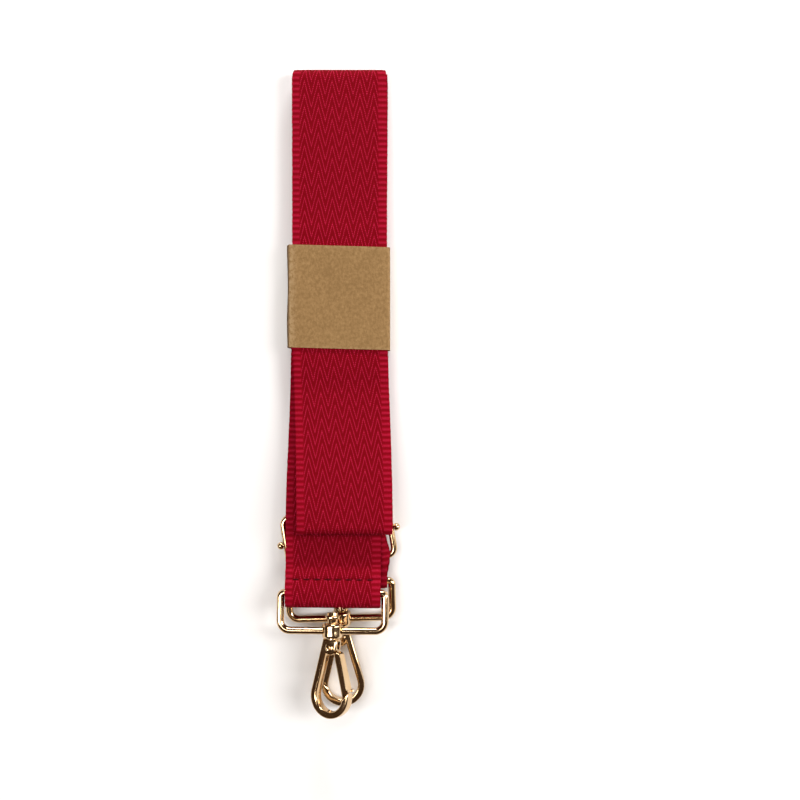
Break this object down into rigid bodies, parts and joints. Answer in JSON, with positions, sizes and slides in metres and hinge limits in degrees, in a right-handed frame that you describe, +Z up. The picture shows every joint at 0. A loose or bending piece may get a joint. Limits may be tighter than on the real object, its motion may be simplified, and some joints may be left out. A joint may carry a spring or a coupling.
{
  "type": "phone crossbody strap with card band",
  "caption": "Adjustable crossbody strap for a phone, folded flat in a card band, with a slider, rectangular end rings and swivel snap hooks.",
  "frame": {"origin": "centre of the bounding box's base, on the plane the folded strap lies on", "axes": "+X to the right across the strap, +Y along it from the hooks to the top fold, +Z up out of the surface it lies on"},
  "size_m": [0.0496, 0.259, 0.0207],
  "materials": {
    "webbing": "matte woven herringbone",
    "card": "uncoated kraft card, matte",
    "gold": "polished pale gold plate"
  },
  "bodies": {
    "strap": {"webbing": "webbing", "card_band": "card", "slider_frame": "gold", "slider_bar": "gold"},
    "front_ring": {"front_ring": "gold"},
    "front_hook": {"front_hook": "gold", "front_rivet": "gold"},
    "front_gate": {"front_gate": "gold"},
    "rear_ring": {"rear_ring": "gold"},
    "rear_hook": {"rear_hook": "gold", "rear_rivet": "gold"},
    "rear_gate": {"rear_gate": "gold"}
  },
  "joints": [
    {"name": "front_ring_pivot", "type": "hinge", "parent": "strap", "child": "front_ring", "pos_m": [-0.0019, -0.0803, 0.01144], "axis": [-0.9999, 0.0105, 0], "range_deg": [0, 110]},
    {"name": "front_hook_swivel", "type": "hinge", "parent": "front_ring", "child": "front_hook", "pos_m": [-0.00209, -0.09813, 0.01296], "axis": [-0.0104, -0.9963, 0.0851], "continuous": true},
    {"name": "front_gate_hinge", "type": "hinge", "parent": "front_hook", "child": "front_gate", "pos_m": [-0.00212, -0.10152, 0.01325], "axis": [0.4992, -0.0789, -0.8629], "range_deg": [0, 25], "stiffness_Nm_per_rad": 0.01, "springref_deg": -5.73},
    {"name": "rear_ring_pivot", "type": "hinge", "parent": "strap", "child": "rear_ring", "pos_m": [0.00065, -0.0768, 0.00504], "axis": [-0.9997, -0.0262, 0], "range_deg": [-100, 0]},
    {"name": "rear_hook_swivel", "type": "hinge", "parent": "rear_ring", "child": "rear_hook", "pos_m": [0.00116, -0.09626, 0.00395], "axis": [0.0261, -0.9981, -0.056], "continuous": true},
    {"name": "rear_gate_hinge", "type": "hinge", "parent": "rear_hook", "child": "rear_gate", "pos_m": [0.00125, -0.09965, 0.00376], "axis": [0.0015, -0.056, 0.9984], "range_deg": [0, 25], "stiffness_Nm_per_rad": 0.01, "springref_deg": -5.73}
  ]
}
